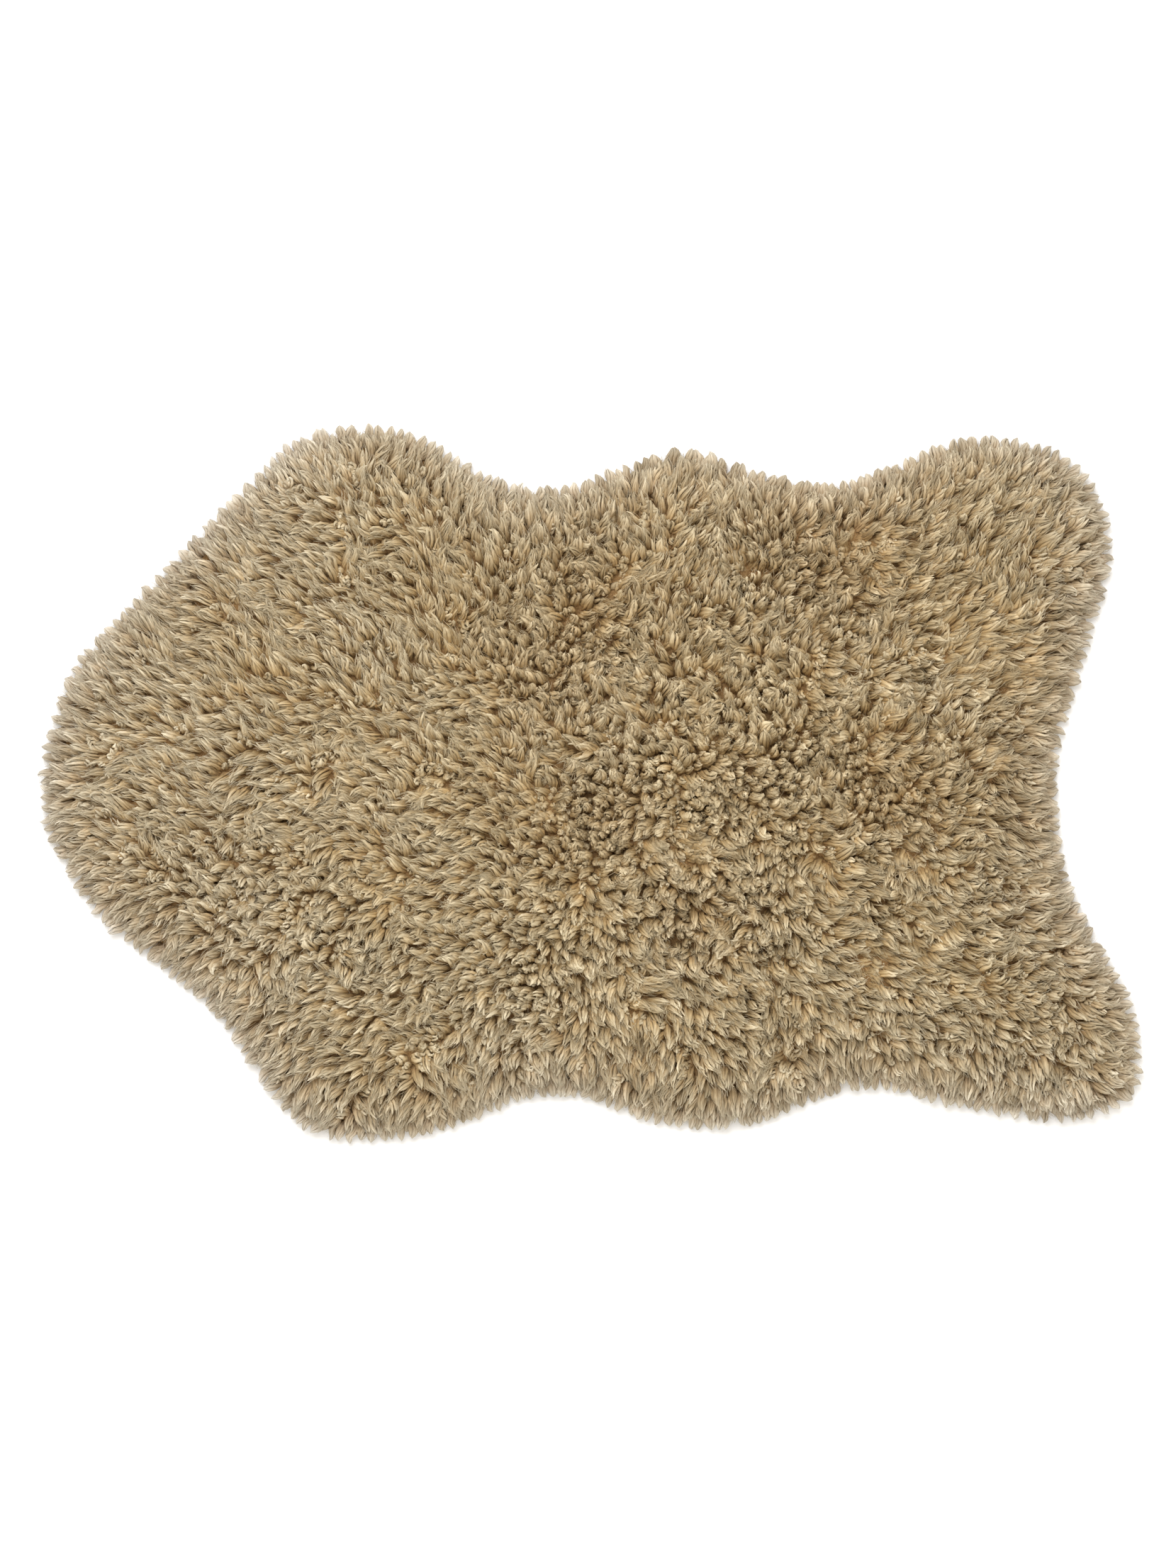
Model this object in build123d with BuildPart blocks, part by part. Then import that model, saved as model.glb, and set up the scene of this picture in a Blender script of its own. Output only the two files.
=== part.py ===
from build123d import *
import os
from math import radians, tan

# Hide-shaped shaggy wool rug, lying flat. Millimetres.
# +X runs from the neck to the rump, +Z is up, and the origin is on the floor
# under the middle of the rug's box.

# Corners of the pile's outline, clockwise seen from above, starting at the neck.
# Every corner is rounded by an arc.
OUTLINE = [
    (-551, 22), (-527, 112), (-292, 354), (-188, 361), (-62, 280), (92, 340),
    (155, 314), (240, 294), (385, 353), (488, 328), (528, 240), (462, 20),
    (472, -95), (548, -230), (551, -320), (470, -344), (355, -322), (265, -300),
    (170, -343), (75, -348), (-35, -303), (-160, -355), (-285, -362), (-384, -222),
    (-500, -132), (-549, -48),
]
RUN_SHARE = 0.45  # each arc takes this share of the shorter side beside it
LARGEST_RADIUS = 200.0

# Heights of the layers
TAPE_THICKNESS = 0.8
CANVAS_THICKNESS = 0.8
LATEX_THICKNESS = 2.0
CLOTH_THICKNESS = 1.0
CANVAS_BOTTOM = TAPE_THICKNESS
LATEX_BOTTOM = CANVAS_BOTTOM + CANVAS_THICKNESS
CLOTH_BOTTOM = LATEX_BOTTOM + LATEX_THICKNESS
CLOTH_TOP = CLOTH_BOTTOM + CLOTH_THICKNESS
TAPE_TOP = CLOTH_TOP + TAPE_THICKNESS
PILE_BOTTOM = 1.0
PILE_TOP = 38.0
PILE_SHOULDER = 18.0  # radius of the rounded top edge of the pile

# Widths, measured inwards from the outline of the pile
PILE_OVERHANG = 20.0  # the pile stands out past the bound edge by this much
TAPE_WIDTH = 18.0
STITCH_INSET = 9.0  # from the bound edge to the line of stitches

# Binding stitches, which lie in a groove under the tape
STITCH_PITCH = 10.0
STITCH_LENGTH = 6.0
STITCH_WIDTH = 0.8
STITCH_HEIGHT = 0.4
STITCH_LIFT = 0.05  # the stitches stay this far clear of the floor
GROOVE_WIDTH = 1.2
GROOVE_DEPTH = STITCH_HEIGHT + STITCH_LIFT

# Care label, sewn flat to the canvas on all four sides
LABEL_LENGTH = 70.0
LABEL_WIDTH = 35.0
LABEL_THICKNESS = 0.3
LABEL_PLACE = (385.0, -235.0)
LABEL_STITCH_INSET = 2.0
LABEL_STITCH_PITCH = 3.0
LABEL_STITCH_LENGTH = 2.0
LABEL_STITCH_WIDTH = 0.4
LABEL_STITCH_HEIGHT = 0.2
LABEL_BOTTOM = CANVAS_BOTTOM - LABEL_THICKNESS

# The pile is split where the rows of tufts change direction.
NECK_END = -330.0
FORE_LEG_END = -50.0
BELLY_END = 250.0
BACK_HALF_WIDTH = 150.0
REACH = 400.0  # past the outline on every side
NOSE_REACH = 600.0

# Each zone is a box in plan: the lowest x and y, then the highest.
PILE_ZONES = {
    "pile_neck": (-NOSE_REACH, -REACH, NECK_END, REACH),
    "pile_shoulders": (NECK_END, -BACK_HALF_WIDTH, FORE_LEG_END, BACK_HALF_WIDTH),
    "pile_fore_leg_right": (NECK_END, BACK_HALF_WIDTH, FORE_LEG_END, REACH),
    "pile_fore_leg_left": (NECK_END, -REACH, FORE_LEG_END, -BACK_HALF_WIDTH),
    "pile_back": (FORE_LEG_END, -BACK_HALF_WIDTH, BELLY_END, BACK_HALF_WIDTH),
    "pile_belly_right": (FORE_LEG_END, BACK_HALF_WIDTH, BELLY_END, REACH),
    "pile_belly_left": (FORE_LEG_END, -REACH, BELLY_END, -BACK_HALF_WIDTH),
    "pile_rump": (BELLY_END, -BACK_HALF_WIDTH, NOSE_REACH, BACK_HALF_WIDTH),
    "pile_hind_leg_right": (BELLY_END, BACK_HALF_WIDTH, NOSE_REACH, REACH),
    "pile_hind_leg_left": (BELLY_END, -REACH, NOSE_REACH, -BACK_HALF_WIDTH),
}

os.makedirs("parts", exist_ok=True)


def finish_piece(piece, label):
    """Name a piece and write its STEP file."""
    piece.part.label = label
    export_step(piece.part, f"parts/{label}.step")


def corner_radius(index):
    """The largest radius that suits one corner of the outline."""
    before = Vector(OUTLINE[index - 1])
    corner = Vector(OUTLINE[index])
    after = Vector(OUTLINE[(index + 1) % len(OUTLINE)])
    shorter = min((corner - before).length, (after - corner).length)
    turn = radians((corner - before).get_angle(after - corner))
    return min(RUN_SHARE * shorter / tan(turn / 2), LARGEST_RADIUS)


# Plan shapes: the outline of the pile, and the same outline drawn in by a margin
with BuildSketch() as pile_plan:
    with BuildLine():
        FilletPolyline(*OUTLINE, radius=[corner_radius(i) for i in range(len(OUTLINE))], close=True)
    make_face()


def inset_plan(margin):
    """The outline of the pile, drawn in by a margin."""
    with BuildSketch() as plan:
        add(pile_plan.sketch)
        offset(amount=-margin, kind=Kind.ARC)
    return plan.sketch


tape_outer = inset_plan(PILE_OVERHANG)
backing_plan = inset_plan(PILE_OVERHANG + TAPE_THICKNESS)
tape_inner = inset_plan(PILE_OVERHANG + TAPE_WIDTH)
stitch_line = inset_plan(PILE_OVERHANG + STITCH_INSET).wire()
groove_outer = inset_plan(PILE_OVERHANG + STITCH_INSET - GROOVE_WIDTH / 2)
groove_inner = inset_plan(PILE_OVERHANG + STITCH_INSET + GROOVE_WIDTH / 2)

# Secondary backing: the canvas that is glued over the underside
with BuildPart() as secondary_backing:
    with BuildSketch(Plane.XY.offset(CANVAS_BOTTOM)):
        add(backing_plan)
    extrude(amount=CANVAS_THICKNESS)
finish_piece(secondary_backing, "secondary_backing")

# Latex: locks the tufts into the cloth and holds the canvas
with BuildPart() as latex_layer:
    with BuildSketch(Plane.XY.offset(LATEX_BOTTOM)):
        add(backing_plan)
    extrude(amount=LATEX_THICKNESS)
finish_piece(latex_layer, "latex_layer")

# Primary backing: the cloth that the tufts are punched into
with BuildPart() as primary_backing:
    with BuildSketch(Plane.XY.offset(CLOTH_BOTTOM)):
        add(backing_plan)
    extrude(amount=CLOTH_THICKNESS)
finish_piece(primary_backing, "primary_backing")

# Edge binding: one band of tape folded round the edge, with a groove for its stitches
with BuildPart() as edge_binding:
    with BuildSketch():
        add(tape_outer)
        add(tape_inner, mode=Mode.SUBTRACT)
    extrude(amount=TAPE_TOP)
    with BuildSketch(Plane.XY.offset(CANVAS_BOTTOM)):
        add(backing_plan)
    extrude(amount=CLOTH_TOP - CANVAS_BOTTOM, mode=Mode.SUBTRACT)
    with BuildSketch():
        add(groove_outer)
        add(groove_inner, mode=Mode.SUBTRACT)
    extrude(amount=GROOVE_DEPTH, mode=Mode.SUBTRACT)
finish_piece(edge_binding, "edge_binding")

# Binding stitches: one short bar of thread for each stitch, end to end along the groove
stitch_count = round(stitch_line.length / STITCH_PITCH)
stitch_places = []
for stitch in range(stitch_count):
    place = stitch_line.position_at(stitch / stitch_count)
    heading = stitch_line.tangent_at(stitch / stitch_count)
    turn = heading.get_signed_angle(Vector(1, 0, 0), Vector(0, 0, -1))
    stitch_places.append(Location((place.X, place.Y, 0), (0, 0, turn)))

with BuildPart() as binding_stitches:
    with BuildSketch(Plane.XY.offset(STITCH_LIFT)):
        with Locations(*stitch_places):
            Rectangle(STITCH_LENGTH, STITCH_WIDTH)
    extrude(amount=STITCH_HEIGHT)
finish_piece(binding_stitches, "binding_stitches")

# Care label, blank
with BuildPart() as care_label:
    with BuildSketch(Plane.XY.offset(LABEL_BOTTOM)):
        with Locations(LABEL_PLACE):
            Rectangle(LABEL_LENGTH, LABEL_WIDTH)
    extrude(amount=LABEL_THICKNESS)
finish_piece(care_label, "care_label")

# Label stitches: a running stitch along each side of the label
side_length = LABEL_LENGTH - 2 * LABEL_STITCH_INSET
side_width = LABEL_WIDTH - 2 * LABEL_STITCH_INSET
long_count = int(side_length // LABEL_STITCH_PITCH)
short_count = int(side_width // LABEL_STITCH_PITCH) - 1
with BuildPart() as label_stitches:
    with BuildSketch(Plane.XY.offset(LABEL_BOTTOM - LABEL_STITCH_HEIGHT)):
        with Locations(LABEL_PLACE):
            with GridLocations(LABEL_STITCH_PITCH, side_width, long_count, 2):
                Rectangle(LABEL_STITCH_LENGTH, LABEL_STITCH_WIDTH)
            with GridLocations(side_length, LABEL_STITCH_PITCH, 2, short_count):
                Rectangle(LABEL_STITCH_WIDTH, LABEL_STITCH_LENGTH)
    extrude(amount=LABEL_STITCH_HEIGHT)
finish_piece(label_stitches, "label_stitches")

# Whole pile: rounded along its top edge, and hollowed underneath to sit on the cloth
# and over the bound edge
with BuildPart() as whole_pile:
    with BuildSketch(Plane.XY.offset(PILE_BOTTOM)):
        add(pile_plan.sketch)
    extrude(amount=PILE_TOP - PILE_BOTTOM)
    fillet(whole_pile.faces().sort_by(Axis.Z)[-1].edges(), PILE_SHOULDER)
    with BuildSketch():
        add(tape_outer)
    extrude(amount=CLOTH_TOP, mode=Mode.SUBTRACT)
    with BuildSketch(Plane.XY.offset(CLOTH_TOP)):
        add(tape_outer)
        add(tape_inner, mode=Mode.SUBTRACT)
    extrude(amount=TAPE_THICKNESS, mode=Mode.SUBTRACT)

# Pile zones: the tufts of each part of the hide
for zone_name, (low_x, low_y, high_x, high_y) in PILE_ZONES.items():
    with BuildPart() as zone:
        add(whole_pile.part)
        with BuildSketch():
            with Locations(((low_x + high_x) / 2, (low_y + high_y) / 2)):
                Rectangle(high_x - low_x, high_y - low_y)
        extrude(amount=PILE_TOP, mode=Mode.INTERSECT)
    finish_piece(zone, zone_name)
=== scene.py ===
import math

import bpy
import numpy as np
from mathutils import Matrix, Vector
from mathutils.geometry import delaunay_2d_cdt


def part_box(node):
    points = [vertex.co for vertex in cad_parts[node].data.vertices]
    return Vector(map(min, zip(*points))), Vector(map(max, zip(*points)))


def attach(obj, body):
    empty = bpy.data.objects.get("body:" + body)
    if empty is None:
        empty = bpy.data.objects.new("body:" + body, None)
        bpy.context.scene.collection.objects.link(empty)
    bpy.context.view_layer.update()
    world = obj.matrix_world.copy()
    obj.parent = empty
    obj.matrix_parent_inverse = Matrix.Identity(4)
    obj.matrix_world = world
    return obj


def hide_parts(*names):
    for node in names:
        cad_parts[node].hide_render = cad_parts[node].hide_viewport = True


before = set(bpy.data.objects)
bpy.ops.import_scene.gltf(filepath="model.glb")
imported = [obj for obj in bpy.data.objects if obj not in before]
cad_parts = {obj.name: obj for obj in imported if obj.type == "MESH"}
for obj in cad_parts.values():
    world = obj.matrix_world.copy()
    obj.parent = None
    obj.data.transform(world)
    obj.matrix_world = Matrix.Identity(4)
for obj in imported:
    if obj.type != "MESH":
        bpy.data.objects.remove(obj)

# Shaggy hide-shaped wool rug. Lengths are in millimetres while the wool is worked out,
# and in metres in every Blender object.
MM = 0.001
rng = np.random.default_rng(20)
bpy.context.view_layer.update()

# ---------------------------------------------------------------- the rug's plan

CLOTH_NODE = "primary_backing"
TAPE_NODE = "edge_binding"
CANVAS_NODE = "secondary_backing"
LATEX_NODE = "latex_layer"
LABEL_NODE = "care_label"
STITCH_NODES = ("binding_stitches", "label_stitches")
PILE_NODES = sorted(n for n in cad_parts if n.startswith("pile_"))

cloth_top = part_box(CLOTH_NODE)[1].z / MM
tape_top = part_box(TAPE_NODE)[1].z / MM
pile_top = max(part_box(n)[1].z for n in PILE_NODES) / MM
pile_low = np.array([min(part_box(n)[0][i] for n in PILE_NODES) for i in (0, 1)]) / MM
pile_high = np.array([max(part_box(n)[1][i] for n in PILE_NODES) for i in (0, 1)]) / MM
overhang = pile_high[0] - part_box(CLOTH_NODE)[1].x / MM


def plan_loop(node):
    """The corners of a node's outline seen from above, in order, in millimetres."""
    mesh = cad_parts[node].data
    uses = {}
    for face in mesh.polygons:
        if face.normal.z < 0.99:
            continue
        corners = [tuple(round(c / MM, 3) for c in mesh.vertices[v].co[:2]) for v in face.vertices]
        for a, b in zip(corners, corners[1:] + corners[:1]):
            uses[(a, b)] = uses.get((a, b), 0) + 1
    following = {a: b for a, b in uses if (b, a) not in uses}
    start = next(iter(following))
    loop = [start]
    while following[loop[-1]] != start:
        loop.append(following[loop[-1]])
    return np.array(loop)


def resample(loop, spacing, shift=0.0):
    """Evenly spaced points along a closed loop, and the direction of the loop there."""
    ends = np.roll(loop, -1, axis=0)
    lengths = np.linalg.norm(ends - loop, axis=1)
    starts = np.concatenate([[0.0], np.cumsum(lengths)])
    count = int(round(starts[-1] / spacing))
    places = (np.arange(count) + shift) * starts[-1] / count
    index = np.clip(np.searchsorted(starts, places, side="right") - 1, 0, len(loop) - 1)
    share = ((places - starts[index]) / lengths[index])[:, None]
    points = loop[index] * (1 - share) + ends[index] * share
    heading = np.roll(points, -2, axis=0) - np.roll(points, 2, axis=0)
    return points, heading / np.linalg.norm(heading, axis=1)[:, None]


def outward_of(heading):
    """The outward normals of a loop that runs anticlockwise."""
    return np.stack([heading[:, 1], -heading[:, 0]], axis=1)


edge_loop = plan_loop(CLOTH_NODE)

# ---------------------------------------------------------------- fields over the plan

FIELD_PITCH = 4.0
FIELD_MARGIN = 40.0
EDGE_STEP = 7.0
POINTS_AT_ONCE = 4000
WAVES_HEIGHT = 0.7
FLOW_SOFTNESS = 45.0
FLOW_POWER = 3.0
COMBING_REACH = 60.0
COMBING_DEPTH = 95.0  # this far inside the cloth's edge only the combing counts
COMBING = (  # where, the way the wool is combed in degrees, how far it lies over
    (-450, 60, 160, 0.9),
    (-350, 130, 150, 0.9),
    (-150, 150, 130, 0.85),
    (-100, 50, 165, 0.7),
    (-160, -50, 180, 0.7),
    (-300, -150, 200, 0.2),
    (-250, -250, 230, 0.75),
    (30, 100, 97, 0.55),
    (60, 220, 80, 0.8),
    (100, -50, -70, 0.15),
    (100, -200, -60, 0.7),
    (300, 30, 80, 0.35),
    (350, 150, 38, 0.8),
    (400, 0, 10, 0.8),
    (300, -150, -20, 0.75),
)
HOLLOWS = (  # where the wool parts and shows its darker roots, and how wide the parting is; the wool there also gets painted shade
    (-50, 110, 60),
    (245, 220, 65),
    (10, -40, 45),
    (300, -10, 50),
    (100, -135, 45),
    (0, 190, 45),
)


def smooth_step(values):
    """A smooth rise from 0 to 1 while the values go from 0 to 1."""
    values = np.clip(values, 0, 1)
    return values * values * (3 - 2 * values)


def rise(values, start, end):
    """A smooth rise from 0 where the values are at the start to 1 where they are at the end."""
    return smooth_step((values - start) / (end - start))


class Field:
    """Values on a regular grid over the plan, read between its points."""

    def __init__(self, values, low, pitch):
        self.values, self.low, self.pitch = values, low, pitch

    def at(self, points):
        """The values at points of the plan."""
        where = (points - self.low) / self.pitch
        limit = np.array(self.values.shape[:2]) - 2
        cell = np.clip(np.floor(where).astype(int), 0, limit)
        share = np.clip(where - cell, 0, 1)
        x, y = cell[:, 0], cell[:, 1]
        tail = (slice(None),) + (None,) * (self.values.ndim - 2)
        sx, sy = share[:, 0][tail], share[:, 1][tail]
        near = self.values[x, y] * (1 - sx) + self.values[x + 1, y] * sx
        far = self.values[x, y + 1] * (1 - sx) + self.values[x + 1, y + 1] * sx
        return near * (1 - sy) + far * sy


def grid_points(low, high, pitch):
    """The points of a regular grid over a rectangle of the plan."""
    xs = np.arange(low[0], high[0] + pitch, pitch)
    ys = np.arange(low[1], high[1] + pitch, pitch)
    return np.stack(np.meshgrid(xs, ys, indexing="ij"), axis=-1)


def depth_inside(points, loop):
    """How far points lie inside a closed loop; outside it the value is negative."""
    ends = np.roll(loop, -1, axis=0)
    along = ends - loop
    squares = (along ** 2).sum(axis=1)
    found = np.empty(len(points))
    for first in range(0, len(points), POINTS_AT_ONCE):
        part = points[first:first + POINTS_AT_ONCE, None, :]
        share = np.clip(((part - loop) * along).sum(-1) / squares, 0, 1)
        away = np.linalg.norm(part - loop - share[..., None] * along, axis=-1).min(axis=1)
        rising = (loop[:, 1] <= part[..., 1]) != (ends[:, 1] <= part[..., 1])
        slope = along[:, 0] / np.where(along[:, 1] == 0, 1e-9, along[:, 1])
        crossing = part[..., 0] < loop[:, 0] + (part[..., 1] - loop[:, 1]) * slope
        inside = (rising & crossing).sum(axis=1) % 2 == 1
        found[first:first + POINTS_AT_ONCE] = np.where(inside, away, -away)
    return found


def flow_towards(points, edge_points, outward):
    """The mean outward direction of the edge as each point feels it, at most 1 long."""
    found = np.empty_like(points)
    for first in range(0, len(points), POINTS_AT_ONCE):
        part = points[first:first + POINTS_AT_ONCE, None, :] - edge_points
        weight = ((part ** 2).sum(-1) + FLOW_SOFTNESS ** 2) ** (-FLOW_POWER / 2)
        found[first:first + POINTS_AT_ONCE] = (weight @ outward) / weight.sum(axis=1)[:, None]
    return found


field_low = pile_low - FIELD_MARGIN
cells = grid_points(field_low, pile_high + FIELD_MARGIN, FIELD_PITCH)
flat_cells = cells.reshape(-1, 2)
edge_points, edge_heading = resample(edge_loop, EDGE_STEP)
if depth_inside(edge_points + outward_of(edge_heading) * 2, edge_loop).mean() > 0:
    edge_loop = edge_loop[::-1]
    edge_points, edge_heading = resample(edge_loop, EDGE_STEP)
depth = Field(depth_inside(flat_cells, edge_loop).reshape(cells.shape[:2]), field_low, FIELD_PITCH)
flow = Field(
    flow_towards(flat_cells, edge_points, outward_of(edge_heading)).reshape(cells.shape),
    field_low,
    FIELD_PITCH,
)


def combed(points):
    """The way the wool lies away from the edge, between the places of COMBING."""
    places = np.array([c[:2] for c in COMBING], float)
    ways = np.radians([c[2] for c in COMBING])
    leans = np.array([c[3] for c in COMBING])
    arrows = np.stack([np.cos(ways), np.sin(ways)], axis=1) * leans[:, None]
    squares = ((points[:, None, :] - places) ** 2).sum(-1)
    weight = (squares + COMBING_REACH ** 2) ** -2
    return (weight @ arrows) / weight.sum(axis=1)[:, None]


def hollow(points):
    """How deep the points lie in the partings of the wool, from 0 to about 1."""
    places = np.array(HOLLOWS, float)
    squares = ((points[:, None, :] - places[:, :2]) ** 2).sum(-1)
    return np.exp(-squares / places[:, 2] ** 2).sum(axis=1)


def waves(points, longest, shortest, count, seed):
    """A smooth random value between about -1 and 1 at each point."""
    source = np.random.default_rng(seed)
    lengths = source.uniform(shortest, longest, count)
    turns = source.uniform(0, 2 * math.pi, count)
    phases = source.uniform(0, 2 * math.pi, count)
    directions = np.stack([np.cos(turns), np.sin(turns)]) * (2 * math.pi / lengths)
    return np.sin(points @ directions + phases).sum(axis=1) / math.sqrt(count / 2) * WAVES_HEIGHT


# ---------------------------------------------------------------- where the tufts stand

TUFT_PITCH = 9.4
TUFT_JITTER = 2.6
RIM_PITCH = 9.6
RIM_JITTER = 0.8
RIM_ROWS = ((1.5, 0.0, 0.2), (5.5, 0.5, 8.5))  # inset of the roots, shift, gap to the outline
FIELD_GAP = 10.0  # from the tips of the field to the outline
FIELD_START = 8.5  # the field of tufts starts this far inside the cloth's edge
CLUMP_PITCH = 34.0
CLUMP_JITTER = CLUMP_PITCH * 0.4


def hexagonal(low, high, pitch, jitter):
    """Points in staggered rows, each moved a little at random."""
    row_step = pitch * math.sqrt(3) / 2
    rows = np.arange(low[1], high[1], row_step)
    points = []
    for number, y in enumerate(rows):
        xs = np.arange(low[0], high[0], pitch) + (number % 2) * pitch / 2
        points.append(np.stack([xs, np.full_like(xs, y)], axis=1))
    points = np.concatenate(points)
    return points + rng.uniform(-jitter, jitter, points.shape)


field_roots = hexagonal(pile_low, pile_high, TUFT_PITCH, TUFT_JITTER)
field_roots = field_roots[depth.at(field_roots) > FIELD_START]
roots = [field_roots]
gaps = [np.full(len(field_roots), FIELD_GAP)]
rim_flags = [np.zeros(len(field_roots))]
for inset, shift, gap in RIM_ROWS:
    row, heading = resample(edge_loop, RIM_PITCH, shift)
    row = row - outward_of(heading) * inset + rng.normal(0, RIM_JITTER, row.shape)
    roots.append(row)
    gaps.append(np.full(len(row), gap))
    rim_flags.append(np.ones(len(row)))
roots, gaps, rim_flags = (np.concatenate(part) for part in (roots, gaps, rim_flags))

clumps = hexagonal(pile_low, pile_high, CLUMP_PITCH, CLUMP_JITTER)
clump_marks = rng.normal(0, 1, (len(clumps), 3))  # turn, tilt and length shared by a clump

# ---------------------------------------------------------------- how each tuft leans

PATH_STEPS = 24
TUFT_LENGTH = 39.0
SHORT_LENGTH = 25.0
CLUMP_LENGTH = 2.4  # how much a clump changes the length
PARTED_LENGTH = 3.5  # how much shorter the tufts stand in a hollow
OWN_LENGTH = 2.0  # how much each tuft differs
TIP_JITTER = 1.0
FIT_PASSES = 4  # a tuft's length is fitted to its gap this many times
FIT_LIMITS = (0.4, 1.6)
LEAST_REACH = 4.0  # of a tuft towards the outline, for fitting its length
ROOT_SINK = 0.5  # how deep in the cloth a tuft starts
TAPE_WIDTH = 18.0  # on the upper face of the cloth
RIM_REACH = 45.0  # this far inside the cloth's edge the rim's own lean has faded out
OUTERMOST_GAP = 4.0  # only the outermost row ends nearer than this to the outline
LOWEST_LINE = 2.5
TOP_BAND = 5.0  # the wool is held down from this far below the top of the pile
TOP_SOFTNESS = 6.0
SHORT_STANDS = 0.75  # how much of its lean a short tuft loses
PARTED_STANDS = 0.55  # and a tuft in a hollow
RUMP = (-150.0, 100.0)  # x, from where to where the wool gets rougher towards the rump

# Angles in degrees. Those with LOOSE are added where nothing combs the wool
WAVE_TURN = 20.0
CLUMP_TURN, CLUMP_TURN_LOOSE, CLUMP_TURN_RIM_LOSS = 9.0, 45.0, 0.8
OWN_TURN, OWN_TURN_LOOSE = 7.0, 26.0
OWN_BEND, OWN_BEND_LOOSE = 14.0, 22.0
TIP_TILT, COMBED_TILT, COMBED_POWER = 34.0, 46.0, 0.8
CLUMP_TILT, CLUMP_TILT_RUMP = 9.0, 7.0
OWN_TILT = 7.0
RIM_TILT = 30.0
SHORT_TILT = 14.0  # taken off the short tufts
ROOT_TILT_SHARE = 0.3
RIM_ROOT_TILT = 26.0
OUTERMOST_TILT = (-2.0, 8.0)  # mean and spread
TILT_POWER = 1.1
BEND_START = 0.4  # the share of its length at which a tuft's heading is its turn


def nearest_clump(points):
    """The number of the clump that each point belongs to."""
    found = np.empty(len(points), int)
    for first in range(0, len(points), POINTS_AT_ONCE):
        part = points[first:first + POINTS_AT_ONCE, None, :] - clumps
        found[first:first + POINTS_AT_ONCE] = (part ** 2).sum(-1).argmin(axis=1)
    return found


def tuft_paths(starts, length, root_tilt, tip_tilt, turn, bend):
    """The line down the middle of every tuft, from the cloth to its tip."""
    share = (np.arange(PATH_STEPS) + 0.5) / PATH_STEPS
    tilt = root_tilt[:, None] + (tip_tilt - root_tilt)[:, None] * share ** TILT_POWER
    heading = turn[:, None] + bend[:, None] * (share - BEND_START)
    step = (length / PATH_STEPS)[:, None]
    moves = np.stack([
        np.sin(tilt) * np.cos(heading) * step,
        np.sin(tilt) * np.sin(heading) * step,
        np.cos(tilt) * step,
    ], axis=-1)
    return np.concatenate([starts, starts + np.cumsum(moves, axis=1)], axis=1)


def lay_down(roots, gaps, rim_flags, short):
    """Middle lines, looseness and lengths of the tufts that stand at the roots."""
    count = len(roots)
    root_depth = depth.at(roots)
    inner_share = rise(root_depth, 0, COMBING_DEPTH)[:, None]
    pull = flow.at(roots) * (1 - inner_share) + combed(roots) * inner_share
    parted = np.clip(hollow(roots), 0, 1) * (1 - rim_flags)
    lean = np.clip(np.linalg.norm(pull, axis=1), 0, 1)
    lean = lean * (1 - SHORT_STANDS * short) * (1 - PARTED_STANDS * parted)
    loose = (1 - lean) * (1 - rim_flags)
    rim_share = np.clip(1 - root_depth / RIM_REACH, 0, 1)
    inner = 1 - rim_share
    clump_turn, clump_tilt, clump_length = clump_marks[nearest_clump(roots)].T

    turn = np.arctan2(pull[:, 1], pull[:, 0])
    turn += np.radians(WAVE_TURN) * waves(roots, longest=200, shortest=70, count=7, seed=1) * inner
    clump_spread = np.radians(CLUMP_TURN + CLUMP_TURN_LOOSE * loose)
    turn += clump_turn * clump_spread * (1 - CLUMP_TURN_RIM_LOSS * rim_share)
    turn += rng.normal(0, 1, count) * np.radians(OWN_TURN + OWN_TURN_LOOSE * loose)
    bend = rng.normal(0, 1, count) * np.radians(OWN_BEND + OWN_BEND_LOOSE * loose)
    tip_tilt = np.radians(TIP_TILT + COMBED_TILT * lean ** COMBED_POWER)
    clump_spread = np.radians(CLUMP_TILT + CLUMP_TILT_RUMP * rise(roots[:, 0], *RUMP))
    tip_tilt += clump_spread * clump_tilt * inner + rng.normal(0, 1, count) * np.radians(OWN_TILT)
    tip_tilt += np.radians(RIM_TILT) * rim_share - np.radians(SHORT_TILT) * short
    root_tilt = ROOT_TILT_SHARE * tip_tilt + np.radians(RIM_ROOT_TILT) * rim_flags
    outermost = rng.normal(*OUTERMOST_TILT, count)
    tip_tilt += np.radians(np.where(gaps < OUTERMOST_GAP, outermost, 0))

    length = TUFT_LENGTH + (SHORT_LENGTH - TUFT_LENGTH) * short
    length = length + CLUMP_LENGTH * clump_length * inner - PARTED_LENGTH * parted
    length = length + rng.normal(0, OWN_LENGTH, count)
    starts = np.zeros((count, 1, 3))
    starts[:, 0, :2] = roots
    starts[:, 0, 2] = np.where(root_depth < TAPE_WIDTH, tape_top, cloth_top) - ROOT_SINK
    wanted = gaps + rng.normal(0, TIP_JITTER, count)
    start_edge = root_depth + overhang
    for _ in range(FIT_PASSES):
        paths = tuft_paths(starts, length, root_tilt, tip_tilt, turn, bend)
        tip_edge = depth.at(paths[:, -1, :2]) + overhang
        scale = (start_edge - wanted) / np.maximum(start_edge - tip_edge, LEAST_REACH)
        fitted = length * np.clip(scale, *FIT_LIMITS)
        length = np.where((tip_edge < wanted) | (rim_flags > 0), fitted, length)
    paths = tuft_paths(starts, length, root_tilt, tip_tilt, turn, bend)
    height = np.maximum(paths[..., 2], LOWEST_LINE)
    band = pile_top - TOP_BAND
    held_down = band + TOP_SOFTNESS * np.tanh((height - band) / TOP_SOFTNESS)
    paths[..., 2] = np.where(height > band, held_down, height)
    return paths, loose, length


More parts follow.
